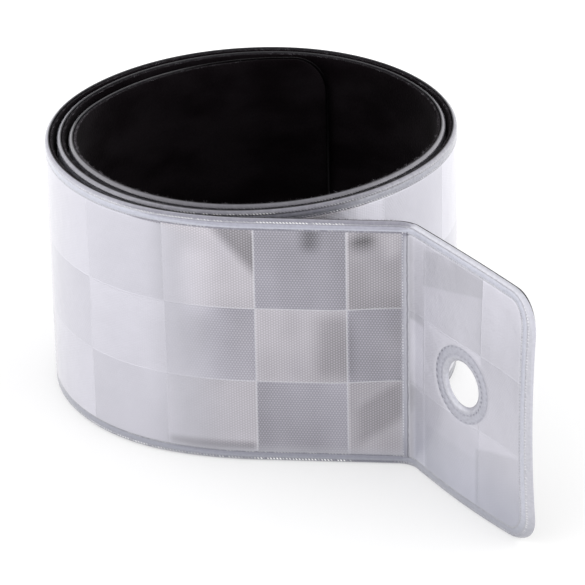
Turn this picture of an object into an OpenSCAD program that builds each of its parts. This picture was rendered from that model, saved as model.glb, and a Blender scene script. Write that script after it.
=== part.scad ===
// Reflective snap band, rolled up and standing on its lower edge.
// A prismatic film is welded round its edge to a velvet backing.
// The strip winds out through about two and a half turns, film outwards,
// then runs straight and bends out into a flat tab with a hole.
// Millimetres, +Z up, origin below the middle of the whole box.

/* [Band] */
// Width of the strip, which is the height of the roll
band_w = 30; // [24:0.5:36]
// Thickness of the reflective film
film_t = 0.5; // [0.4:0.05:0.5]
// Thickness of the velvet backing
backing_t = 0.5; // [0.3:0.05:0.5]
// Clear gap between the film and the backing
bond_gap = 0.05; // [0.04:0.01:0.06]
// Radius of the strip's four corners
corner_r = 4; // [2:0.5:6]

/* [Weld] */
// Bead left along each long edge, outside the weld track
edge_bead = 0.3; // [0.2:0.05:0.5]
// Bead left across the tab's end
end_bead = 1.1; // [0.5:0.1:1.5]
// Width of the weld track pressed into the film
weld_w = 0.9; // [0.6:0.1:1.2]
// Depth of the weld track
weld_d = 0.12; // [0.05:0.01:0.2]
// Angle of the tab's bend that the seam pressed across the film takes up
seam_a = 10; // [5:5:15]

/* [Tab] */
// Straight run from the roll to the tab's bend
run_len = 15.8; // [12:0.1:20]
// Radius of the bend, at the faces that are bonded
bend_r = 3; // [2:0.5:4]
// Angle that the tab is bent out from the run
bend_a = 50; // [35:1:60]
// Flat length of the tab past its bend
tab_len = 20.6; // [18:0.1:26]
// Diameter of the hole in the tab
hole_d = 5.2; // [4:0.1:6.5]
// Distance from the hole's axis to the tab's end
hole_back = 12.1; // [10:0.1:13]
// Height of the hole's axis
hole_z = 14.8; // [13:0.1:16]
// Inner radius of the weld ring round the hole
ring_in = 3.5; // [3.3:0.1:3.6]
// Outer radius of the weld ring round the hole
ring_out = 4.3; // [4:0.1:5]

/* [Hidden] */

// Where the bonded faces start at the strip's inner end, and which way they head
inner_end = [5.300, 26.787, 157.7];

// The roll from its inner end outwards, one row for each stretch, turning left.
RADIUS = 0;
SWEEP = 1;
TURNS = [
  // radius, sweep
  [12.0, 17],   // inner end, curling in
  [24.7, 60],   // first turn: back
  [14.2, 60],   // left end
  [19.2, 60],   // front left
  [22.9, 60],   // front right
  [16.3, 60],   // right end
  [19.7, 60],   // back right
  [23.5, 60],   // second turn: back
  [17.2, 60],   // left end
  [20.1, 60],   // front left
  [24.4, 60],   // front right
  [17.4, 60],   // right end
  [21.1, 60],   // back right
  [24.7, 60],   // last turn: back
  [18.6, 60],   // left end
  [20.4, 45],   // front left
  [35.0, 15],   // easing into the straight run
];

// Parts of a heading: x, y and the angle
X = 0;
Y = 1;
ANGLE = 2;

// Facets: the angle that each takes up on the roll and on the bend, and a full circle
roll_facet_a = 3;
bend_facet_a = 5;
small_fn = 64;
// How far a cutter reaches past an end or inwards of a layer, outwards of a layer, and
// out of the weld track
over = 2;
side_over = 0.2;
weld_over = 0.04;

// The two layers: distances from the bonded faces, outwards positive
film_layer = [0, film_t];
backing_layer = [-bond_gap - backing_t, -bond_gap];
weld_layer = [film_t - weld_d, film_t + weld_over];

film_col = "lightsteelblue";
backing_col = "#1b171b";

// A heading moved round an arc: the centre lies to its left where r is positive
function along_arc(at, r, sweep) =
  let (turned = at[ANGLE] + sign(r) * sweep)
  [
    at[X] + r * (sin(turned) - sin(at[ANGLE])),
    at[Y] - r * (cos(turned) - cos(at[ANGLE])),
    turned
  ];

// A heading moved straight on
function along_line(at, dist) =
  [at[X] + dist * cos(at[ANGLE]), at[Y] + dist * sin(at[ANGLE]), at[ANGLE]];

// The headings along an arc, one to a facet, without the one at its far end
function arc_headings(at, r, sweep, facet_a) =
  let (count = ceil(sweep / facet_a))
  [for (k = [0:count - 1]) along_arc(at, r, sweep * k / count)];

// The heading at which row i of the roll starts
function row_start(i) =
  i == 0
    ? inner_end
    : along_arc(row_start(i - 1), TURNS[i - 1][RADIUS], TURNS[i - 1][SWEEP]);

// The point that lies n outwards of a heading
function beside(at, n) = [at[X] + n * sin(at[ANGLE]), at[Y] - n * cos(at[ANGLE])];

run_start = row_start(len(TURNS));
bend_start = along_line(run_start, run_len);
tab_start = along_arc(bend_start, -bend_r, bend_a);
tab_end = along_line(tab_start, tab_len);

// The whole strip from its inner end to the tab's end
roll_path = [
  for (i = [0:len(TURNS) - 1])
    each arc_headings(row_start(i), TURNS[i][RADIUS], TURNS[i][SWEEP], roll_facet_a)
];
bend_path = arc_headings(bend_start, -bend_r, bend_a, bend_facet_a);
strip_path = concat(roll_path, [run_start], bend_path, [tab_start, tab_end]);

// The weld track's straight lines start in the middle of a facet, past the corners of
// the inner end, and stop at the tab
weld_from = ceil(TURNS[0][SWEEP] / roll_facet_a) + 1;
weld_start = (strip_path[weld_from] + strip_path[weld_from + 1]) / 2;
weld_path = concat(
  [weld_start],
  [for (i = [weld_from + 1:len(strip_path) - 2]) strip_path[i]]
);
seam_path = [for (i = [2:2 + seam_a / bend_facet_a]) bend_path[i]];

// A wall that stands along a path, between two distances from the bonded faces
module wall(path, layer, z0, z1) {
  translate([0, 0, z0])
    linear_extrude(z1 - z0)
      polygon(concat(
        [for (at = path) beside(at, layer[1])],
        [for (i = [len(path) - 1:-1:0]) beside(path[i], layer[0])]
      ));
}

// Puts a shape at a heading: its X runs along the strip and its -Y faces outwards
module at_heading(at) {
  translate([at[X], at[Y], 0])
    rotate([0, 0, at[ANGLE]])
      children();
}

// Stands a flat shape up along the strip and fills a layer with it
module stand_up(layer) {
  translate([0, -layer[0], 0])
    rotate([90, 0, 0])
      linear_extrude(layer[1] - layer[0])
        children();
}

// What a rounded corner takes off a square corner at the origin
module corner_waste() {
  difference() {
    translate([-over, -over])
      square(corner_r + over);
    translate([corner_r, corner_r])
      circle(corner_r, $fn = small_fn);
  }
}

// The waste of the lower and the upper corner of an end at X = 0
module end_waste(cut) {
  stand_up(cut) {
    corner_waste();
    translate([0, band_w])
      mirror([0, 1])
        corner_waste();
  }
}

// A rectangle that starts before the tab and has its two far corners rounded
module tab_outline(end_inset, edge_inset) {
  r = corner_r - edge_inset;
  far = tab_len - end_inset;
  translate([-side_over, edge_inset])
    square([far + side_over - r, band_w - 2 * edge_inset]);
  translate([far - 2 * r, edge_inset + r])
    square([2 * r, band_w - 2 * edge_inset - 2 * r]);
  for (z = [edge_inset + r, band_w - edge_inset - r])
    translate([far - r, z])
      circle(r, $fn = small_fn);
}

// The weld track that follows the tab's outline, and the ring round its hole
module tab_welds() {
  difference() {
    tab_outline(end_bead, edge_bead);
    tab_outline(end_bead + weld_w, edge_bead + weld_w);
  }
  translate([tab_len - hole_back, hole_z])
    difference() {
      circle(ring_out, $fn = small_fn);
      circle(ring_in, $fn = small_fn);
    }
}

// One layer of the strip, with its four corners rounded and the tab's hole drilled
module strip(layer) {
  cut = [layer[0] - over, layer[1] + side_over];
  difference() {
    wall(strip_path, layer, 0, band_w);
    at_heading(inner_end)
      end_waste(cut);
    at_heading(tab_end)
      mirror([1, 0, 0])
        end_waste(cut);
    at_heading(along_line(tab_end, -hole_back))
      stand_up(cut)
        translate([0, hole_z])
          circle(d = hole_d, $fn = small_fn);
  }
}

// The weld tracks along both edges, the seam in the bend and the tab's welds
module welds() {
  for (z = [edge_bead, band_w - edge_bead - weld_w])
    wall(weld_path, weld_layer, z, z + weld_w);
  wall(seam_path, weld_layer, edge_bead + weld_w / 2, band_w - edge_bead - weld_w / 2);
  at_heading(tab_start)
    stand_up(weld_layer)
      tab_welds();
}

// Clear prismatic film, with the weld track pressed in along its edges
module reflective_film() {
  color(film_col)
    difference() {
      strip(film_layer);
      welds();
    }
}

// Black flocked backing, on the inside of every turn and behind the tab
module velvet_backing() {
  color(backing_col)
    strip(backing_layer);
}

reflective_film();
velvet_backing();
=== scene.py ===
"""A rolled-up reflective snap band, standing on its edge: prismatic film on black velvet."""

import math

import bpy
import numpy as np
from mathutils import Matrix, Vector


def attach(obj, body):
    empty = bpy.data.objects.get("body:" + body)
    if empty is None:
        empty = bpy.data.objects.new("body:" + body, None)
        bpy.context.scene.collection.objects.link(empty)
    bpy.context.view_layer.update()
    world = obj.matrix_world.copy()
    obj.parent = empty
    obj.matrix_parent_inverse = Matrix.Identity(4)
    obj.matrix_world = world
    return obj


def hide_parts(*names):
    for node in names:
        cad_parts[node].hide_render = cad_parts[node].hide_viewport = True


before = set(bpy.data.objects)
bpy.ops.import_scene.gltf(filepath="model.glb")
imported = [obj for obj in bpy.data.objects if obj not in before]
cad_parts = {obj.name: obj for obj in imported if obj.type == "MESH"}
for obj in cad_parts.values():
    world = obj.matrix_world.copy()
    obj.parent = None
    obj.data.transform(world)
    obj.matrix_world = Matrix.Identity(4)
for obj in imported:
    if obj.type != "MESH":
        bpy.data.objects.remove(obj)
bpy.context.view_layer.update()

# The camera looks down on the roll's front from far away, a little rolled.
# Its distance and focal length are those that fit the photograph's rims.
MM = 0.001
BAND_WIDTH = 30 * MM
CAMERA_ELEVATION = math.radians(29)
CAMERA_ROLL = math.radians(-1.19)
CAMERA_DISTANCE = 452.6 * MM
CAMERA_TARGET = Vector((0.70 * MM, -0.69 * MM, BAND_WIDTH / 2))
SENSOR_WIDTH = 36
LENS = 253.1

camera_data = bpy.data.cameras.new("camera")
camera_data.sensor_width = SENSOR_WIDTH
camera_data.lens = LENS
camera = bpy.data.objects.new("camera", camera_data)
bpy.context.scene.collection.objects.link(camera)
ahead = Vector((0, math.cos(CAMERA_ELEVATION), -math.sin(CAMERA_ELEVATION)))
level_right = Vector((1, 0, 0))
level_up = level_right.cross(ahead)
right = level_right * math.cos(CAMERA_ROLL) + level_up * math.sin(CAMERA_ROLL)
up = level_up * math.cos(CAMERA_ROLL) - level_right * math.sin(CAMERA_ROLL)
camera.matrix_world = Matrix.Translation(CAMERA_TARGET - ahead * CAMERA_DISTANCE) @ Matrix(
    (right, up, -ahead)
).transposed().to_4x4()
bpy.context.scene.camera = camera

# The strip winds out from its inner end, film outwards, in stretches that turn left,
# then runs straight, bends the other way and ends in the flat tab.
INNER_END = (5.300 * MM, 26.787 * MM, math.radians(157.7))
STRETCHES = np.array([
    # radius in mm, sweep in degrees: positive turns left
    (12.0, 17),
    (24.7, 60), (14.2, 60), (19.2, 60), (22.9, 60), (16.3, 60), (19.7, 60),
    (23.5, 60), (17.2, 60), (20.1, 60), (24.4, 60), (17.4, 60), (21.1, 60),
    (24.7, 60), (18.6, 60), (20.4, 45), (35.0, 15),
])
RUN_LENGTH = 15.8 * MM
BEND_RADIUS = 3 * MM
BEND_SWEEP = math.radians(50)
TAB_LENGTH = 20.6 * MM

radius_mm, sweep_degrees = STRETCHES.T
stretch_turn = np.concatenate((np.radians(sweep_degrees), (0, -BEND_SWEEP, 0)))
stretch_length = np.concatenate((
    radius_mm * MM * np.radians(sweep_degrees),
    (RUN_LENGTH, BEND_RADIUS * BEND_SWEEP, TAB_LENGTH),
))
stretch_bend = stretch_turn / stretch_length
stretch_from = np.concatenate(((0,), np.cumsum(stretch_length)))
STRIP_LENGTH = stretch_from[-1]
TAB_FROM = stretch_from[-2]
BEND_FROM = stretch_from[-3]


def after_stretch(at, along, bend):
    """Heading (x, y, angle) after a length along an arc of curvature bend: the arc's chord is
    added, whose direction is the mean angle and whose length is along sin(t) / t, t half the turn."""
    half = along * bend / 2
    chord = along * np.sinc(half / np.pi)
    return np.array((
        at[0] + chord * np.cos(at[2] + half),
        at[1] + chord * np.sin(at[2] + half),
        at[2] + 2 * half,
    ))


stretch_start = [np.array(INNER_END)]
for along, bend in zip(stretch_length, stretch_bend):
    stretch_start.append(after_stretch(stretch_start[-1], along, bend))
stretch_start = np.array(stretch_start).T

# The tab isn't quite flat: its end bows, by these distances outwards at three heights, and
# between the bend and the end it bulges by these distances at its lower and upper edge.
# Halfway up it also waves, first outwards and then inwards.
TAB_BOW = np.array([
    # height, outwards, in mm
    (0, -0.15),
    (17, 0.74),
    (30, 0.10),
]) * MM
TAB_BULGE = (0.50 * MM, -0.15 * MM)
TAB_WAVE = 0.25 * MM


def on_strip(along, height, out):
    """Points of the rolled strip: the heading at each length along it, moved outwards
    by out, which is to the heading's right, and lifted by height. On the tab the bow is
    added, a parabola over the height that grows with the square of the length, and the
    bulge, half a sine wave over the length, and the wave, a whole one over the length
    that fades to the edges as half a sine wave over the height."""
    row = np.clip(np.searchsorted(stretch_from, along, "right") - 1, 0, len(stretch_bend) - 1)
    x, y, angle = after_stretch(stretch_start[:, row], along - stretch_from[row], stretch_bend[row])
    share = np.clip((along - TAB_FROM) / TAB_LENGTH, 0, 1)
    bow = np.polyval(np.polyfit(*TAB_BOW.T, 2), height)
    bulge = np.interp(height, (0, BAND_WIDTH), TAB_BULGE)
    wave = TAB_WAVE * np.sin(math.pi * np.clip(height / BAND_WIDTH, 0, 1))
    out = out + bow * share ** 2 + bulge * np.sin(math.pi * share)
    out = out + wave * np.sin(2 * math.pi * share)
    return np.stack((x + out * np.sin(angle), y - out * np.cos(angle), height), -1)


# Both layers are cut to one flat outline with rounded corners and a hole in the tab.
# A layer is a grid over its face, a profile of loops round its edge and round the hole,
# and a grid over its other face. The grids' steps are finest in the bend.
CORNER_RADIUS = 4 * MM
HOLE_RADIUS = 2.6 * MM
HOLE_ALONG = STRIP_LENGTH - 12.1 * MM
HOLE_HEIGHT = 14.8 * MM
CORNER_STEPS = 12
ROLL_STEP = 0.6 * MM
BEND_STEP = 0.14 * MM
BEND_MARGIN = 1 * MM
PATCH_HALF = 6 * MM
PATCH_STEPS = 20
LOWER_STEPS = 8
UPPER_STEPS = 9
FIELD_MARGIN = 4 * MM


def spaced(start, stop, step):
    """Evenly spaced lengths from start to stop, about a step apart, without the last."""
    count = max(1, round((stop - start) / step))
    return np.linspace(start, stop, count, endpoint=False)


straight_along = np.concatenate((
    spaced(CORNER_RADIUS, BEND_FROM - BEND_MARGIN, ROLL_STEP),
    spaced(BEND_FROM - BEND_MARGIN, TAB_FROM + BEND_MARGIN, BEND_STEP),
    spaced(TAB_FROM + BEND_MARGIN, HOLE_ALONG - PATCH_HALF, ROLL_STEP),
    np.linspace(HOLE_ALONG - PATCH_HALF, HOLE_ALONG + PATCH_HALF, PATCH_STEPS + 1),
    spaced(HOLE_ALONG + PATCH_HALF, STRIP_LENGTH - CORNER_RADIUS, ROLL_STEP)[1:],
))
corner_turn = np.linspace(0, math.pi / 2, CORNER_STEPS + 1)
rows_above = np.concatenate((
    np.linspace(0, HOLE_HEIGHT - PATCH_HALF, LOWER_STEPS, endpoint=False),
    np.linspace(HOLE_HEIGHT - PATCH_HALF, HOLE_HEIGHT + PATCH_HALF, PATCH_STEPS, endpoint=False),
    np.linspace(HOLE_HEIGHT + PATCH_HALF, BAND_WIDTH, UPPER_STEPS + 1),
))


def lower_edge(edge_inset, end_inset):
    """Lengths and heights of the lower edge's points, inset from the outline: a quarter
    ellipse round each corner's centre, and a straight line between the two."""
    reach = CORNER_RADIUS - end_inset
    drop = CORNER_RADIUS - edge_inset
    arc_along = reach * np.sin(corner_turn)
    arc_height = CORNER_RADIUS - drop * np.cos(corner_turn)
    along = np.concatenate((
        CORNER_RADIUS - arc_along[:0:-1], straight_along, STRIP_LENGTH - CORNER_RADIUS + arc_along
    ))
    height = np.concatenate((
        arc_height[:0:-1], np.full(len(straight_along), edge_inset), arc_height
    ))
    return along, height


def grid_heights(low_height, edge_inset):
    """Heights of each column's points, from the lower edge to its mirror image: the rows that
    pass beside the hole stay level, and a column that starts higher is squeezed."""
    beside_hole = (HOLE_HEIGHT - PATCH_HALF, HOLE_HEIGHT + PATCH_HALF)
    level = np.interp(
        rows_above, (0, *beside_hole, BAND_WIDTH), (edge_inset, *beside_hole, BAND_WIDTH - edge_inset)
    )
    share = (level - edge_inset) / (BAND_WIDTH - 2 * edge_inset)
    return low_height[:, None] + share * (BAND_WIDTH - 2 * low_height)[:, None]


def rim(grid):
    """What stands round a grid's rim: lower row, last column, upper row, first column."""
    return np.concatenate((grid[:, 0], grid[-1, 1:-1], grid[::-1, -1], grid[0, -2:0:-1]))


def side_of(distances):
    """For each row of a profile 1, or -1 past the last of those that reach out furthest."""
    furthest = len(distances) - 1 - np.argmin(distances[::-1])
    return np.where(np.arange(len(distances)) > furthest, -1, 1)


def layer_mesh(name, edge_profile, hole_profile):
    """One layer as a closed mesh. edge_profile has rows (edge inset, end inset, out) from the
    face's rim round to the other face, and hole_profile has rows (radius, out) the same way.
    It carries the flat layout as the UV map strip, and in mm the distance from the edge as
    margin, the same all over the field and negative on the other face, and the length round
    the edge as round."""
    edge_profile = np.array(edge_profile) * MM
    hole_profile = np.array(hole_profile) * MM
    edge_side = side_of(edge_profile[:, 0])
    hole_side = side_of(hole_profile[:, 0])
    points = []
    quads = []
    # The columns of points that are used by name
    ALONG, HEIGHT, MARGIN, ROUND = 0, 1, 3, 4

    def add(*columns):
        """Keeps points given by along, height, out, margin and round, and returns their numbers."""
        as_first = np.shape(columns[0])
        first = sum(len(kept) for kept in points)
        spread = [np.broadcast_to(column, as_first).ravel() for column in columns]
        points.append(np.stack(spread, -1))
        return first + np.arange(len(points[-1])).reshape(as_first)

    def face_grid(edge_inset, end_inset, level, side):
        """A grid over a face, open where the hole's patch is. Its quads go round the other way
        on the other face. Returns the point numbers of its own rim and of the patch's rim."""
        low_along, low_height = lower_edge(edge_inset, end_inset)
        heights = grid_heights(low_height, edge_inset)
        lengths = np.broadcast_to(low_along[:, None], heights.shape)
        grid = add(lengths, heights, level, side * FIELD_MARGIN, 0)
        at_rim = rim(grid) - grid[0, 0]
        points[-1][at_rim, MARGIN] = side * edge_inset
        points[-1][at_rim, ROUND] = rim_round
        cells = np.stack((grid[:-1, :-1], grid[1:, :-1], grid[1:, 1:], grid[:-1, 1:]), -1)
        in_column = np.abs((low_along[1:] + low_along[:-1]) / 2 - HOLE_ALONG) < PATCH_HALF
        in_row = np.abs((rows_above[1:] + rows_above[:-1]) / 2 - HOLE_HEIGHT) < PATCH_HALF
        kept = cells[~(in_column[:, None] & in_row)]
        quads.append(kept[:, ::side])
        patch = grid[np.argmax(in_column):, np.argmax(in_row):]
        return rim(grid), rim(patch[:PATCH_STEPS + 1, :PATCH_STEPS + 1])

    def edge_loop(edge_inset, end_inset, level, side):
        """A loop of points at an inset from the outline, in a grid rim's order."""
        low_along, low_height = lower_edge(edge_inset, end_inset)
        heights = grid_heights(low_height, edge_inset)
        lengths = np.broadcast_to(low_along[:, None], heights.shape)
        return add(rim(lengths), rim(heights), level, side * edge_inset, rim_round)

    def hole_loop(radius, level, side):
        """A circle of points round the hole, each on the ray to its point of the patch's rim."""
        return add(
            HOLE_ALONG + radius * np.cos(ray), HOLE_HEIGHT + radius * np.sin(ray),
            level, side * FIELD_MARGIN, ray * HOLE_RADIUS
        )

    def join(loops):
        """Quads between each closed loop of point numbers and the next."""
        for one, other in zip(loops[:-1], loops[1:]):
            quads.append(np.stack((one, np.roll(one, -1), np.roll(other, -1), other), -1))

    low_along, low_height = lower_edge(0, 0)
    heights = grid_heights(low_height, 0)
    outline = np.stack((rim(np.broadcast_to(low_along[:, None], heights.shape)), rim(heights)))
    rim_round = np.concatenate(((0,), np.cumsum(np.hypot(*np.diff(outline)))))

    face_rim, patch_rim = face_grid(*edge_profile[0], 1)
    patch = points[0][patch_rim]
    ray = np.arctan2(patch[:, HEIGHT] - HOLE_HEIGHT, patch[:, ALONG] - HOLE_ALONG)
    back_rim, back_patch_rim = face_grid(*edge_profile[-1], -1)
    edge_loops = [edge_loop(*row, side) for row, side in zip(edge_profile[1:-1], edge_side[1:-1])]
    join([back_rim] + edge_loops[::-1] + [face_rim])
    hole_loops = [hole_loop(*row, side) for row, side in zip(hole_profile, hole_side)]
    join([patch_rim] + hole_loops + [back_patch_rim])

    used, numbered = np.unique(np.concatenate(quads), return_inverse=True)
    along, height, out, margin, round_edge = np.concatenate(points)[used].T
    faces = numbered.reshape(-1, 4)
    mesh = bpy.data.meshes.new(name)
    mesh.vertices.add(len(used))
    mesh.vertices.foreach_set("co", on_strip(along, height, out).astype(np.float32).ravel())
    mesh.loops.add(faces.size)
    mesh.loops.foreach_set("vertex_index", faces.astype(np.int32).ravel())
    mesh.polygons.add(len(faces))
    mesh.polygons.foreach_set("loop_start", np.arange(0, faces.size, 4, dtype=np.int32))
    mesh.update(calc_edges=True)
    mesh.shade_smooth()
    flat = np.stack((along / STRIP_LENGTH, height / BAND_WIDTH), -1)[faces.ravel()]
    layout = mesh.uv_layers.new(name="strip").uv
    layout.foreach_set("vector", flat.astype(np.float32).ravel())
    for label, values in (("margin", margin), ("round", round_edge)):
        in_mm = (values / MM).astype(np.float32)
        mesh.attributes.new(label, "FLOAT", "POINT").data.foreach_set("value", in_mm)
    piece = bpy.data.objects.new(name, mesh)
    bpy.context.scene.collection.objects.link(piece)
    return piece


# Reflective film: a clear vinyl cover welded to a prismatic sheet. The weld leaves a bead
# along the edge, a smooth track inside it with a knurled groove on each side, and a ring
# of the same kind round the hole.
FILM_EDGE = [
    # edge inset, end inset, out, in mm
    (1.48, 2.25, 0.500),
    (1.35, 2.12, 0.488),
    (1.25, 2.00, 0.440),
    (1.15, 1.88, 0.425),
    (1.04, 1.74, 0.452),
    (0.80, 1.48, 0.465),
    (0.60, 1.24, 0.450),
    (0.51, 1.10, 0.415),
    (0.43, 0.97, 0.435),
    (0.36, 0.84, 0.468),
    (0.28, 0.62, 0.455),
    (0.19, 0.40, 0.385),
    (0.115, 0.24, 0.295),
    (0.055, 0.12, 0.195),
    (0.015, 0.035, 0.100),
    (0.00, 0.00, 0.045),
    (0.03, 0.03, 0.010),
    (0.12, 0.12, 0.000),
]
FILM_HOLE = [
    # radius, out, in mm
    (5.10, 0.500),
    (4.62, 0.490),
    (4.44, 0.450),
    (4.28, 0.410),
    (4.12, 0.440),
    (3.80, 0.475),
    (3.55, 0.440),
    (3.42, 0.410),
    (3.28, 0.445),
    (3.10, 0.450),
    (2.92, 0.395),
    (2.76, 0.295),
    (2.64, 0.190),
    (2.60, 0.110),
    (2.60, 0.050),
    (2.63, 0.010),
    (2.75, 0.000),
]

film = layer_mesh("reflective_film_skin", FILM_EDGE, FILM_HOLE)
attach(film, "root")
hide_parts("reflective_film")


class Shade:
    """A socket of a material's nodes. Arithmetic on it adds Math nodes to the material."""

    def __init__(self, tree, socket):
        self.tree = tree
        self.socket = socket

    def node(self, kind, settings=None, inputs=None, output=0):
        """Adds a node, gives it its settings and then its inputs, and wraps one output."""
        made = self.tree.nodes.new(kind)
        for name, value in (settings or {}).items():
            setattr(made, name, value)
        for name, value in (inputs or {}).items():
            if isinstance(value, Shade):
                self.tree.links.new(value.socket, made.inputs[name])
            else:
                made.inputs[name].default_value = value
        return Shade(self.tree, made.outputs[output])

    def math(self, operation, *others):
        """A Math node on this value and up to two more."""
        return self.node("ShaderNodeMath", {"operation": operation}, dict(enumerate((self, *others))))

    def __add__(self, other):
        return self.math("ADD", other)

    def __sub__(self, other):
        return self.math("SUBTRACT", other)

    def __mul__(self, other):
        return self.math("MULTIPLY", other)

    def __truediv__(self, other):
        return self.math("DIVIDE", other)

    def __mod__(self, other):
        return self.math("FLOORED_MODULO", other)

    def __pow__(self, other):
        return self.math("POWER", other)

    def __neg__(self):
        return self.math("MULTIPLY", -1.0)

    def __abs__(self):
        return self.math("ABSOLUTE")

    def __rsub__(self, other):
        return (-self).math("ADD", other)

    __radd__ = __add__
    __rmul__ = __mul__

    def between(self, low, high, to_low=0.0, to_high=1.0):
        """A smooth step of this value from one range to another, held at its ends."""
        return self.node(
            "ShaderNodeMapRange", {"interpolation_type": "SMOOTHSTEP"},
            {"Value": self, "From Min": low, "From Max": high, "To Min": to_low, "To Max": to_high},
        )

    def ridge(self, centre, width):
        """One at a centre, falling off smoothly to nothing a width away on both sides."""
        return abs(self - centre).between(0.0, width, 1.0, 0.0)

    def wave(self, pitch):
        """A sine wave along this value, from -1 to 1."""
        return (self * (2 * math.pi / pitch)).math("SINE")

    def part(self, number):
        """One of a vector's three parts, counted from 0."""
        return self.node("ShaderNodeSeparateXYZ", None, {0: self}, number)

    def mix(self, one, other):
        """A colour between two, this value of the way from one to the other."""
        return self.node("ShaderNodeMix", {"data_type": "RGBA"}, {0: self, 6: one, 7: other}, 2)

    def into(self, shader, name):
        """Links this value to an input of a shader node."""
        self.tree.links.new(self.socket, shader.inputs[name])


def joined(one, two, three):
    """A vector or a colour put together from three values, the first of them a Shade."""
    return one.node("ShaderNodeCombineXYZ", None, {0: one, 1: two, 2: three})


def new_material(name, piece):
    """A material on a piece: its Principled shader, and a value to start its nodes from."""
    material = bpy.data.materials.new(name)
    material.use_nodes = True
    piece.data.materials.append(material)
    tree = material.node_tree
    return tree.nodes["Principled BSDF"], Shade(tree, None)


# The prisms are pressed in square cells with fine lines between them. Neighbouring cells
# turn the prisms' grain the other way, so they catch the light differently: their lighter and
# darker tones are painted reflection. Sizes are in mm, and places along the strip are counted
# back from the tab's end.
CELL_LENGTH = 9.9
CELL_HEIGHT = 9.0
FIRST_COLUMN = -18.8
FIRST_ROW = 1.15
TOP_ROW_NUMBER = 2.0
ROWS_RISE_FROM = -31.0
ROWS_RISE = 0.5
FIELD_END = -22.7
CELL_SEED = 3.0
SLOPE_SEED = (7.0, 3.0, 1.0)
STRIP_MM = STRIP_LENGTH / MM
BAND_MM = BAND_WIDTH / MM

shader, start = new_material("prismatic_film", film)
flat = start.node("ShaderNodeUVMap", {"uv_map": "strip"})
along = flat.part(0) * STRIP_MM
height = flat.part(1) * BAND_MM
margin = start.node("ShaderNodeAttribute", {"attribute_name": "margin"}, None, 2)
round_edge = start.node("ShaderNodeAttribute", {"attribute_name": "round"}, None, 2)
from_end = along - STRIP_MM
ring_along = along - HOLE_ALONG / MM
ring_height = height - HOLE_HEIGHT / MM
ring = (ring_along * ring_along + ring_height * ring_height) ** 0.5
ring_turn = ring_height.math("ARCTAN2", ring_along)


def soft_noise(flat, length_scale, height_scale, shift, detail=1.0):
    """Smooth noise over the flat strip, from 0 to 1, with its features' sizes in mm."""
    scale = (STRIP_MM / length_scale, BAND_MM / height_scale, 1.0)
    place = flat.node("ShaderNodeMapping", None, {"Vector": flat, "Scale": scale, "Location": shift})
    return flat.node(
        "ShaderNodeTexNoise", {"noise_dimensions": "2D"},
        {"Vector": place, "Scale": 1.0, "Detail": detail},
    )


def random_at(place):
    """A random value from 0 to 1 for each place."""
    return place.node("ShaderNodeTexWhiteNoise", {"noise_dimensions": "3D"}, {"Vector": place})


column = (from_end - FIRST_COLUMN) / CELL_LENGTH
rows_rise = from_end.between(ROWS_RISE_FROM, FIELD_END, 0.0, ROWS_RISE)
row = (height - FIRST_ROW - rows_rise) / CELL_HEIGHT
column_number = column.math("FLOOR")
row_number = row.math("FLOOR").math("MAXIMUM", 0.0).math("MINIMUM", TOP_ROW_NUMBER)
parity = (column_number + row_number) % 2.0
in_column = column - column_number
in_row = row - row_number
column_gap = (0.5 - abs(in_column - 0.5)) * CELL_LENGTH
row_gap = abs(abs(row - 1.5) - 0.5) * CELL_HEIGHT
cell_place = joined(column_number, row_number, CELL_SEED)
cell_chance = random_at(cell_place)
slope_place = start.node("ShaderNodeVectorMath", {"operation": "ADD"}, {0: cell_place, 1: SLOPE_SEED})
slope_angle = random_at(slope_place) * (2 * math.pi)

# Cast of each cell: how light it is, at random, and a painted reflection: a slope across it
# and slow clouds
CELL_CAST = 0.10
SLOPE_CAST = 0.14
CLOUD_CAST = 0.18
slope = (in_column - 0.5) * slope_angle.math("COSINE") + (in_row - 0.5) * slope_angle.math("SINE")
clouds = soft_noise(flat, 4.0, 6.0, (0.0, 0.0, 0.0))
cast = slope * SLOPE_CAST + (cell_chance - 0.5) * CELL_CAST + (clouds - 0.5) * CLOUD_CAST
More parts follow.
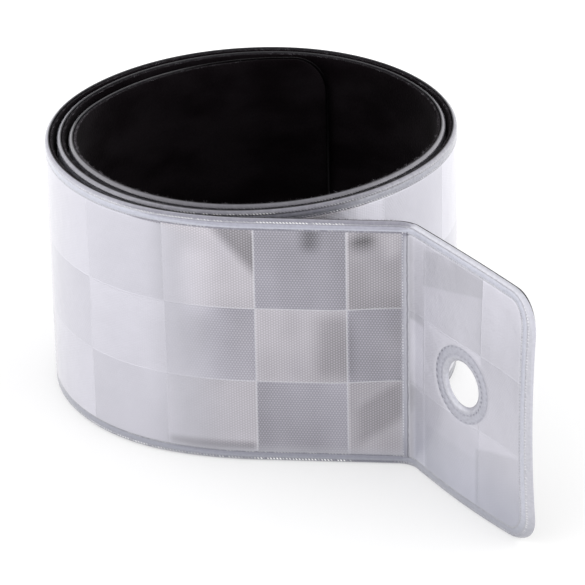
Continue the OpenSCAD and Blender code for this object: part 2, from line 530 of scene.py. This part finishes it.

# Painted reflections: places where the cells are painted darker or lighter, standing in for
# what the prisms reflect there
PAINTED_REFLECTIONS = [
    # length from the end, height, half length, half height, slant, softness of the sides
    # and of the top and bottom, in mm, strength
    (-41.3, 29.3, 2.65, 2.6, -1.20, 0.05, 1.2, -0.46),
    (-45.0, 22.0, 1.8, 4.0, 0.00, 1.5, 1.5, 0.20),
    (-32.6, 27.8, 0.9, 1.4, 0.00, 0.9, 0.9, -0.28),
    (-25.6, 24.4, 2.85, 4.95, 0.06, 0.05, 0.05, -0.26),
    (-27.0, 27.6, 1.3, 0.8, 0.20, 1.0, 1.2, -0.46),
    (-23.6, 27.3, 0.9, 1.4, 0.50, 0.8, 0.8, 0.12),
    (-45.3, 14.65, 3.3, 4.5, 0.00, 1.8, 0.05, 0.14),
    (-36.0, 14.6, 2.3, 4.0, 0.00, 1.0, 1.0, -0.06),
    (-30.2, 14.6, 1.9, 3.9, 0.00, 1.2, 1.2, -0.20),
    (-25.6, 9.9, 2.85, 9.5, 0.06, 0.05, 0.05, -0.12),
    (-24.2, 7.4, 3.40, 2.4, 0.75, 0.9, 0.9, -0.20),
    (-43.6, 1.9, 4.8, 0.5, 0.00, 0.5, 0.5, -0.46),
    (-13.6, 2.8, 4.8, 4.2, 0.00, 0.1, 0.5, -0.08),
    (-14.0, 27.2, 5.1, 2.1, 0.28, 0.1, 0.2, -0.14),
    (-20.3, 23.5, 1.3, 5.0, 0.00, 0.3, 0.3, -0.12),
    (-20.3, 14.8, 1.3, 3.9, 0.00, 0.3, 0.3, 0.22),
    (-20.3, 5.8, 1.3, 4.6, 0.00, 0.3, 0.3, -0.20),
    (-17.0, 16.0, 1.6, 2.4, -1.00, 0.3, 0.3, -0.08),
    (-5.0, 5.2, 4.4, 4.4, 0.30, 0.3, 0.3, -0.18),
]
for place, level, half_length, half_height, slant, side_soft, soft, strength in PAINTED_REFLECTIONS:
    beside = abs(from_end - place) - half_length
    above = abs(height - level - (from_end - place) * slant) - half_height
    cast = cast + beside.between(-side_soft, side_soft, 1.0, 0.0) * (
        above.between(-soft, soft, 1.0, 0.0) * strength
    )

# Grain: rows of dots in one set of cells, columns of dots in the other. The lines between
# the columns of cells are grained too.
GRAIN_PITCH = 0.32
GRAIN_MEAN = 0.33
GRAIN_STRENGTH = 0.18
DARK_CELL = 0.32
LIGHTER_CELL = 0.11
CAST_STRENGTH = 0.5
WARM_TINT = (1.0, 0.955, 1.04)
COOL_TINT = (0.97, 0.943, 1.08)
LINE_GRAIN_PITCH = 0.4
LINE_COLOUR = (0.72, 0.72, 0.77, 1)
COLUMN_LINE_STRENGTH = 0.47
ROW_LINE_STRENGTH = 0.38


def dot_grid(along, height, turn):
    """A honeycomb of soft dots, from 0 to 1: the sum of three waves that cross at 60 degrees."""
    step = 2 * math.pi / (GRAIN_PITCH * math.sqrt(3) / 2)
    total = 0.0
    for third in range(3):
        angle = turn + third * math.pi / 3
        wave = along * (math.cos(angle) * step) + height * (math.sin(angle) * step)
        total = wave.math("COSINE") + total
    return (total + 1.5) / 4.5


in_rows = dot_grid(along, height, 0.0)
in_columns = dot_grid(along, height, math.pi / 2)
grain = parity * in_rows + (1 - parity) * in_columns
tone = parity * LIGHTER_CELL + DARK_CELL + cast * CAST_STRENGTH
tone = tone + (grain - GRAIN_MEAN) * GRAIN_STRENGTH
warm = joined(*(tone * part for part in WARM_TINT))
cool = joined(*(tone * part for part in COOL_TINT))
warmth = soft_noise(flat, 7.0, 11.0, (3.0, 1.0, 0.0)) * 0.5 + parity * 0.35 + cell_chance * 0.15
prisms = warmth.between(0.35, 0.65).mix(cool, warm)
line_grain = (along + height).wave(LINE_GRAIN_PITCH).between(-1.0, 1.0, 0.5, 1.0)
column_line = column_gap.between(0.05, 0.14, 1.0, 0.0) * line_grain
row_line = row_gap.between(0.04, 0.11, 1.0, 0.0)
lines = (column_line * COLUMN_LINE_STRENGTH).math("MAXIMUM", row_line * ROW_LINE_STRENGTH)
prisms = lines.mix(prisms, LINE_COLOUR)

# Weld: smooth vinyl, bluer in the track, with a groove of pressed dots on each side of the
# track, on which glints are painted here and there. The bead's cut edge is dark, partly its own
# colour and partly painted shade, which is wider where a turn's back is seen against velvet and
# at the inner end.
BEND_END = -TAB_LENGTH / MM
# The middle of each groove and its reach to either side, the ring's from the hole's axis
OUTER_GROOVE = (0.38, 0.15)
INNER_GROOVE = (1.20, 0.13)
RING_OUTER_GROOVE = (4.28, 0.16)
RING_INNER_GROOVE = (3.42, 0.14)
KNURL_PITCH = 0.35
KNURL_SLANT = 0.7
RING_KNURLS = 36
RING_KNURL_SLANT = 6.0
INNER_END_FADE = (-352.0, -345.0)
# Stretches where the painted glints on the grooves' dots are strongest
SHINING = [
    # length from the end, half length, in mm, strength
    (-33.8, 5.2, 1.0),
    (-50.0, 10.0, 0.5),
    (-175.2, 5.2, 1.0),
    (-1.0, 0.4, 0.5),
]
BACKS = [
    # length from the end, half length, in mm: where the cut edge is seen against velvet and its
    # painted shade is wider
    (-108.0, 22.0),
    (-237.0, 22.0),
    (-345.0, 14.0),
]
# Painted shade on the inner turns, which lie inside the roll
INNER_TURNS = [
    # length from the end past which all is shaded, where the shade begins, in mm, strength
    (-112.0, -106.0, 0.45),
    (-245.0, -235.0, 0.40),
]
VINYL = (0.22, 0.215, 0.26, 1)
TRACK_VINYL = (0.34, 0.34, 0.41, 1)
TAB_VINYL = (0.50, 0.50, 0.56, 1)
MILKY_VINYL = (0.46, 0.46, 0.51, 1)
MILKY_TRACK = (0.46, 0.47, 0.545, 1)
MILKY_BEAD = (0.30, 0.295, 0.345, 1)
MILKY_RING = (0.385, 0.385, 0.445, 1)
MILKY_LIP = (0.45, 0.45, 0.50, 1)

on_tab = from_end.between(BEND_END - 1.0, BEND_END)
knurl = (round_edge + margin * KNURL_SLANT).wave(KNURL_PITCH) * 0.5 + 0.5
ring_knurl = (ring_turn * RING_KNURLS + ring * RING_KNURL_SLANT).math("SINE") * 0.5 + 0.5
outer_groove = margin.ridge(*OUTER_GROOVE)
inner_groove = margin.ridge(*INNER_GROOVE)
ring_groove = ring.ridge(*RING_OUTER_GROOVE) * ring_along.between(-4.0, 3.0, 1.3, 0.4)
ring_groove = ring_groove + ring.ridge(*RING_INNER_GROOVE) * ring_along.between(-3.0, 3.0, 0.4, 1.0)
track = margin.between(0.5, 0.62) * margin.between(1.04, 1.16, 1.0, 0.0)
track = track + ring.between(3.4, 3.6) * ring.between(4.1, 4.25, 1.0, 0.0)
on_ring = ring.between(4.4, 4.5, 1.0, 0.0)
lip = ring.between(3.05, 3.3, 1.0, 0.0)
upper_bead = margin.between(0.15, 0.40, 1.0, 0.0) * height.between(25.0, 29.0) * (1 - on_tab)
# Painted shade: the weld is darker towards the bottom
low = height.between(0.0, 5.0, 0.52, 0.0)
painted_turn_shade = 0.0
for shaded, clear, strength in INNER_TURNS:
    painted_turn_shade = from_end.between(shaded, clear, strength, 0.0) + painted_turn_shade
scuffs = soft_noise(flat, 0.45, 0.35, (6.0, 2.0, 0.0), 3.0).between(0.3, 0.7, -1.0, 1.0)
scuffs = scuffs * (painted_turn_shade * 1.2 + on_ring * 0.15 + 0.38)

# Painted glints: bright dots in the grooves, patchy, and strongest in the stretches above
patchy = soft_noise(flat, 5.0, 40.0, (2.2, 0.4, 0.0))
shining = patchy.between(0.45, 0.75) * 0.3
for place, half_length, strength in SHINING:
    beside = abs(from_end - place) - half_length
    shining = shining + beside.between(-1.0, 1.0, 1.0, 0.0) * strength
glints = soft_noise(flat, 0.7, 0.5, (4.0, 1.0, 0.0)).between(0.30, 0.50)
lit_grooves = outer_groove * shining + inner_groove * patchy.between(0.35, 0.60, 0.0, 0.35)
painted_glints = (lit_grooves * knurl.between(0.3, 0.7) * glints).math("MINIMUM", 1.0)
dark_dots = (inner_groove * knurl + ring_groove * ring_knurl) * patchy.between(0.3, 0.7, 0.3, 0.8)

# The cut edge's dark rim, partly painted shade: it reaches further in at the inner end and at the
# turns' backs, and is nearly black at the inner end
edge_reach = from_end.between(*INNER_END_FADE, 0.5, 0.0) - on_tab * 0.08
for place, half_length in BACKS:
    beside = abs(from_end - place) - half_length
    edge_reach = edge_reach + beside.between(-4.0, 4.0, 0.09, 0.0)
cut_edge = (margin - edge_reach).between(0.01, 0.04, 1.0, 0.0)
painted_end_shade = cut_edge * from_end.between(*INNER_END_FADE, 1.0, 0.0)

# The seam across the bend: dots at the field's end with painted glints, a shaded strip and a
# dark pressed line
SEAM_PLACE = -21.95
# The middle of each and its reach to either side
SEAM_DOTS = (FIELD_END + 0.12, 0.11)
SEAM_LINE = (SEAM_PLACE, 0.14)
SEAM_STRIP = ((FIELD_END + SEAM_PLACE) / 2, 0.5)
seam_glints = soft_noise(flat, 20.0, 2.0, (5.0, 0.0, 0.0)).between(0.35, 0.65, 0.15, 0.6)
seam_wander = soft_noise(flat, 9.0, 1.2, (8.0, 0.0, 0.0), 2.0) - 0.5
in_track = margin.between(0.9, 1.15)
seam_dots = from_end.ridge(*SEAM_DOTS) * in_track * height.wave(KNURL_PITCH).between(-0.4, 0.6)
seam_dots = seam_dots * seam_glints
seam_line = (from_end + seam_wander * 0.25).ridge(*SEAM_LINE) * in_track
seam_strip = (from_end + seam_wander * 0.5).ridge(*SEAM_STRIP) * in_track
seam_strip = seam_strip * height.between(0.0, 24.0, 0.55, 0.25)

# What lies over the weld's vinyl, from the first to the last: where it is, its colour. Among
# them are painted shade, low down, on the inner turns, on the cut edge and at the inner end,
# and painted glints on the dots
WELD_LAYERS = [
    ((scuffs * 0.12).math("MAXIMUM", 0.0), (0.75, 0.75, 0.80, 1)),
    ((scuffs * -0.22).math("MAXIMUM", 0.0), (0.12, 0.12, 0.15, 1)),
    (low, (0.16, 0.165, 0.20, 1)),
    (painted_turn_shade, (0.10, 0.095, 0.11, 1)),
    (dark_dots, (0.15, 0.15, 0.19, 1)),
    (painted_glints, (1.0, 1.0, 1.0, 1)),
    (cut_edge, (0.022, 0.021, 0.025, 1)),
    (painted_end_shade, (0.006, 0.005, 0.006, 1)),
    (seam_strip, (0.22, 0.22, 0.28, 1)),
    (seam_line * 0.5, (0.16, 0.16, 0.21, 1)),
    (seam_dots, (0.95, 0.95, 1.0, 1)),
]


def weld_colour(colour):
    """The weld's colour on a base colour, with every layer mixed over it in turn."""
    for share, over in WELD_LAYERS:
        colour = share.mix(colour, over)
    return colour


vinyl = on_tab.mix(track.mix(VINYL, TRACK_VINYL), TAB_VINYL)
milky = upper_bead.mix(track.mix(MILKY_VINYL, MILKY_TRACK), MILKY_BEAD)
milky = lip.mix(on_ring.mix(milky, MILKY_RING), MILKY_LIP)

# The prisms fill the field inside the weld, but for the seam's strip and the hole's ring
TAB_FIELD = -21.7
FIELD_FADE = 0.05
past_field = from_end.between(FIELD_END - FIELD_FADE, FIELD_END + FIELD_FADE)
before_tab = from_end.between(TAB_FIELD - FIELD_FADE, TAB_FIELD + FIELD_FADE, 1.0, 0.0)
in_prisms = margin.between(1.27, 1.36) * ring.between(4.38, 4.5)
in_prisms = in_prisms * (1 - past_field * before_tab)
in_prisms.mix(weld_colour(vinyl), prisms).into(shader, "Base Color")
(in_prisms * 0.5 + painted_end_shade).into(shader, "Metallic")
shader.inputs["Roughness"].default_value = 0.42
(0.5 - cut_edge * 0.45).into(shader, "Coat Weight")
shader.inputs["Coat Roughness"].default_value = 0.16

# The cover over the prisms shows them when it is looked at squarely. From the side its
# milky gloss hides them, and only a paler cast of the same cells is left.
MILK_TONE = 0.53
MILK_LIGHTER_CELL = 0.035
MILK_CAST = 0.18
MILK_TAB_CAST = 0.22
MILK_RUN_CAST = 0.14
MILK_TAB_SHADE = 0.025
MILK_LOW_TAB_SHADE = 0.07
MILK_RUN_SHADE = 0.14
MILK_TINT = (1.0, 0.985, 1.10)
MILK_LOW_TAB_TINT = (0.0, 0.012, 0.04)
MILK_LINE_COLOUR = (0.70, 0.71, 0.77, 1)
MILK_LINE_STRENGTH = 0.07
MILK_FROM = 0.135
MILK_TO = 0.19
MILK_SHARE = 0.92

milk = start.node("ShaderNodeBsdfPrincipled")
milk_shader = milk.socket.node
on_low_tab = on_tab * height.between(0.0, 12.0, 1.0, 0.0)
on_run = from_end.between(-51.0, -46.0) * (1 - on_tab)
# Painted reflection: on the tab and the run the cells' painted reflection is stronger, and the milky
# colour is painted darker, most low on the tab, where it is also bluer
milk_cast = cast * (on_tab * MILK_TAB_CAST + on_run * MILK_RUN_CAST + MILK_CAST)
milk_tone = parity * MILK_LIGHTER_CELL + MILK_TONE + milk_cast
milk_tone = milk_tone - on_tab * MILK_TAB_SHADE - on_low_tab * MILK_LOW_TAB_SHADE
milk_tone = milk_tone - on_run * MILK_RUN_SHADE
milk_colour = joined(*(
    milk_tone * part + on_low_tab * extra for part, extra in zip(MILK_TINT, MILK_LOW_TAB_TINT)
))
milk_lines = column_line.math("MAXIMUM", row_line) * MILK_LINE_STRENGTH
milk_colour = milk_lines.mix(milk_colour, MILK_LINE_COLOUR)
in_prisms.mix(weld_colour(milky), milk_colour).into(milk_shader, "Base Color")
(painted_end_shade * 0.55 + 0.45).into(milk_shader, "Metallic")
milk_shader.inputs["Roughness"].default_value = 0.40
(1.0 - cut_edge * 0.9).into(milk_shader, "Coat Weight")
milk_shader.inputs["Coat Roughness"].default_value = 0.18
facing = start.node("ShaderNodeLayerWeight", None, {"Blend": 0.5}, 1)
aside = facing.between(MILK_FROM, MILK_TO) * MILK_SHARE
seen_squarely = Shade(start.tree, shader.outputs[0])
both = start.node("ShaderNodeMixShader", None, {0: aside, 1: seen_squarely, 2: milk})
both.into(start.tree.nodes["Material Output"], "Surface")

# Relief that the mesh is too coarse for, in mm: the grain, the cell lines, the knurling, a
# slow unevenness all over and the seam's line
GRAIN_DEPTH = 0.010
COLUMN_LINE_DEPTH = 0.03
ROW_LINE_DEPTH = 0.02
KNURL_DEPTH = 0.06
UNEVEN_DEPTH = 0.10
SEAM_DEPTH = 0.10
relief = grain * in_prisms * GRAIN_DEPTH + column_line * in_prisms * COLUMN_LINE_DEPTH
relief = relief + row_line * in_prisms * ROW_LINE_DEPTH
relief = relief + knurl * (outer_groove + inner_groove) * KNURL_DEPTH
relief = relief + ring_knurl * ring_groove * KNURL_DEPTH
relief = relief + (soft_noise(flat, 2.5, 2.5, (0.0, 0.0, 0.0), 2.0) - 0.5) * UNEVEN_DEPTH
relief = relief - seam_line * SEAM_DEPTH
bump = start.node("ShaderNodeBump", None, {"Height": relief, "Distance": MM, "Strength": 1.0})
for lit in (shader, milk_shader):
    bump.into(lit, "Normal")

# Velvet backing: black flock on the strip's inner side, cut to the same outline and hole.
# The weld presses its edge thin, and it swells to its full pile beside it.
VELVET_EDGE = [
    # edge inset, end inset, out, in mm
    (0.30, 0.48, -0.050),
    (0.20, 0.36, -0.065),
    (0.16, 0.33, -0.110),
    (0.15, 0.38, -0.200),
    (0.17, 0.48, -0.270),
    (0.23, 0.58, -0.330),
    (0.38, 0.70, -0.400),
    (0.70, 0.90, -0.480),
    (1.20, 1.30, -0.530),
    (1.90, 1.90, -0.550),
]
VELVET_HOLE = [
    # radius, out, in mm
    (5.00, -0.050),
    (3.07, -0.050),
    (2.98, -0.065),
    (2.95, -0.110),
    (3.01, -0.180),
    (3.11, -0.250),
    (3.23, -0.320),
    (3.37, -0.390),
    (3.60, -0.470),
    (4.05, -0.530),
    (5.00, -0.550),
]

velvet = layer_mesh("velvet_backing_pile", VELVET_EDGE, VELVET_HOLE)
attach(velvet, "root")
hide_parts("velvet_backing")

# The pile's rim is painted pale: a painted sheen where the light catches it, reaching further
# in on a stretch of the inner turn
DEEP_PILE = (0.0020, 0.0009, 0.0016, 1)
BRUSHED_PILE = (0.0065, 0.0048, 0.0060, 1)
PAINTED_SHEEN_PILE = (0.085, 0.078, 0.088, 1)
SHEEN_FROM = (-356.0, -350.0)
LIT_STRETCH_FROM = (-338.0, -318.0)
LIT_STRETCH_TO = (-284.0, -276.0)
SHEEN_REACH = 0.26
LIT_STRETCH_REACH = 0.30
RIM_FADE = 0.2
FUZZ_DEPTH = 0.08

shader, start = new_material("black_velvet", velvet)
flat = start.node("ShaderNodeUVMap", {"uv_map": "strip"})
margin = start.node("ShaderNodeAttribute", {"attribute_name": "margin"}, None, 2)
from_end = flat.part(0) * STRIP_MM - STRIP_MM
fuzz = soft_noise(flat, 0.30, 0.30, (0.0, 0.0, 0.0), 2.0)
brushed = soft_noise(flat, 9.0, 5.0, (1.0, 0.0, 0.0), 2.0)
lit_stretch = from_end.between(*LIT_STRETCH_FROM) * from_end.between(*LIT_STRETCH_TO, 1.0, 0.0)
reach = lit_stretch * LIT_STRETCH_REACH + SHEEN_REACH
painted_rim_sheen = ((reach - abs(margin)) / RIM_FADE).between(0.0, 1.0) * fuzz.between(0.25, 0.75, 0.2, 1.0)
painted_rim_sheen = painted_rim_sheen * (lit_stretch * 0.7 + 0.3) * from_end.between(*SHEEN_FROM)
pile = brushed.between(0.3, 0.7).mix(DEEP_PILE, BRUSHED_PILE)
painted_rim_sheen.mix(pile, PAINTED_SHEEN_PILE).into(shader, "Base Color")
shader.inputs["Roughness"].default_value = 0.95
shader.inputs["Specular IOR Level"].default_value = 0.05
shader.inputs["Sheen Weight"].default_value = 0.015
shader.inputs["Sheen Roughness"].default_value = 0.45
pile_relief = {"Height": fuzz * FUZZ_DEPTH, "Distance": MM, "Strength": 1.0}
start.node("ShaderNodeBump", None, pile_relief).into(shader, "Normal")

# Fringe of the pile: fibres of the velvet that stand out past its two long edges, from near
# the inner end to the bend, each a thin three-sided spike rooted in the backing.
FIBRE_PITCH = 0.05 * MM
FIBRE_LENGTH = (0.06 * MM, 0.22 * MM)
FIBRE_RADIUS = 0.014 * MM
FIBRE_ROOTS = (-0.40 * MM, -0.08 * MM)
FIBRE_LEAN = 0.7
FIBRE_LEAN_INWARDS = 0.4
FIBRE_LEAN_SHARE = 0.8
FIBRE_INSETS = (0.20 * MM, 0.45 * MM)
FIBRE_LOWEST = 0.03 * MM
FIBRE_SEED = 7
BARE_END = 8 * MM

low_along, low_height = lower_edge(*FIBRE_INSETS)
heights = grid_heights(low_height, FIBRE_INSETS[0])
edge = np.stack((rim(np.broadcast_to(low_along[:, None], heights.shape)), rim(heights)), -1)
edge = np.concatenate((edge, edge[:1]))
edge_length = np.concatenate(((0,), np.cumsum(np.hypot(*np.diff(edge, axis=0).T))))


def edge_point(at_length):
    """Lengths along the strip and heights of the points at some lengths round the edge."""
    return np.stack([np.interp(at_length, edge_length, edge[:, side]) for side in range(2)], -1)


dice = np.random.default_rng(FIBRE_SEED)
at_length = dice.uniform(0, edge_length[-1], int(edge_length[-1] / FIBRE_PITCH))
root_along = edge_point(at_length)[:, 0]
at_length = at_length[(root_along > BARE_END) & (root_along < BEND_FROM)]
fibre_count = len(at_length)
root = edge_point(at_length)
heading = edge_point(at_length + FIBRE_PITCH) - root
heading /= np.hypot(*heading.T)[:, None]
outward = np.stack((heading[:, 1], -heading[:, 0]), -1)
reach = dice.uniform(*FIBRE_LENGTH, fibre_count)
lean = dice.normal(0, FIBRE_LEAN, (2, fibre_count))
root_out = dice.uniform(*FIBRE_ROOTS, fibre_count)
tip = root + (outward + heading * lean[0][:, None]) * reach[:, None]
tip[:, 1] = np.maximum(tip[:, 1], FIBRE_LOWEST)
tip_out = root_out + (lean[1] - FIBRE_LEAN_INWARDS) * reach * FIBRE_LEAN_SHARE

# A spike's root corners go round one way on the lower edge and the other way on the upper
# one, so that its faces point outwards on both
corner_angle = np.arange(3) * (2 * math.pi / 3)
way_round = np.where(outward[:, 1] > 0, -1, 1)
base_along = root[:, None, 0] + FIBRE_RADIUS * np.cos(corner_angle)
base_out = root_out[:, None] + FIBRE_RADIUS * np.sin(corner_angle) * way_round[:, None]
base_height = np.broadcast_to(root[:, None, 1], base_along.shape)
base = on_strip(base_along.ravel(), base_height.ravel(), base_out.ravel())
corners = np.concatenate((
    base.reshape(fibre_count, 3, 3),
    on_strip(tip[:, 0], tip[:, 1], tip_out)[:, None],
), 1)
sides = np.array([(0, 1, 3), (1, 2, 3), (2, 0, 3), (0, 2, 1)])
first_corner = 4 * np.arange(fibre_count)[:, None, None]
fringe_mesh = bpy.data.meshes.new("velvet_fringe")
fringe_mesh.from_pydata(corners.reshape(-1, 3), [], (sides + first_corner).reshape(-1, 3))
fringe = bpy.data.objects.new("velvet_fringe", fringe_mesh)
bpy.context.scene.collection.objects.link(fringe)
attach(fringe, "root")
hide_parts("velvet_backing")

DARK_FIBRE = (0.03, 0.027, 0.03, 1)
PALE_FIBRE = (0.20, 0.19, 0.21, 1)
SPECK_SCALE = 1200.0
shader, start = new_material("velvet_fibre", fringe)
place = start.node("ShaderNodeTexCoord", None, None, 3)
speck = start.node("ShaderNodeTexNoise", None, {"Vector": place, "Scale": SPECK_SCALE, "Detail": 0.0})
speck.between(0.45, 0.75).mix(DARK_FIBRE, PALE_FIBRE).into(shader, "Base Color")
shader.inputs["Roughness"].default_value = 0.9
shader.inputs["Specular IOR Level"].default_value = 0.2

# Floor and light: a white table in a white tent, brighter at the sides than in front. The
# table glows a little, less near the band.
FLOOR_HALF = 3.0
TABLE_COLOUR = (0.5, 0.5, 0.5, 1)
# From a distance to another, and the glow at each
TABLE_GLOW = (30 * MM, 160 * MM, 0.48, 0.85)
# From one part of the direction to another, and the light at each
RIGHT_LIGHT = (0.25, 0.9, 0.75, 2.1)
LEFT_LIGHT = (-0.9, -0.25, 1.0, 0.0)
FAR_LIGHT = (-0.9, -0.3, 0.0, 0.25)

floor_mesh = bpy.data.meshes.new("floor")
floor_mesh.from_pydata(
    [(-FLOOR_HALF, -FLOOR_HALF, 0), (FLOOR_HALF, -FLOOR_HALF, 0),
     (FLOOR_HALF, FLOOR_HALF, 0), (-FLOOR_HALF, FLOOR_HALF, 0)],
    [], [(0, 1, 2, 3)],
)
floor = bpy.data.objects.new("floor", floor_mesh)
bpy.context.scene.collection.objects.link(floor)
shader, start = new_material("white_table", floor)
shader.inputs["Base Color"].default_value = TABLE_COLOUR
shader.inputs["Roughness"].default_value = 1.0
shader.inputs["Specular IOR Level"].default_value = 0.0
shader.inputs["Emission Strength"].default_value = 1.0
on_floor = start.node("ShaderNodeTexCoord", None, None, 3)
away = start.node("ShaderNodeVectorMath", {"operation": "LENGTH"}, {0: on_floor}, 1)
glow = away.between(*TABLE_GLOW)
joined(glow, glow, glow).into(shader, "Emission Color")

world = bpy.data.worlds.new("tent")
bpy.context.scene.world = world
world.use_nodes = True
sky = Shade(world.node_tree, None)
direction = sky.node("ShaderNodeTexCoord")
across = direction.part(0)
forward = direction.part(1)
strength = across.between(*RIGHT_LIGHT) + across.between(*LEFT_LIGHT)
strength = strength + forward.between(*FAR_LIGHT)
background = world.node_tree.nodes["Background"]
strength.into(background, "Strength")
background.inputs["Color"].default_value = (1, 1, 1, 1)

bpy.context.scene.view_settings.view_transform = "Standard"
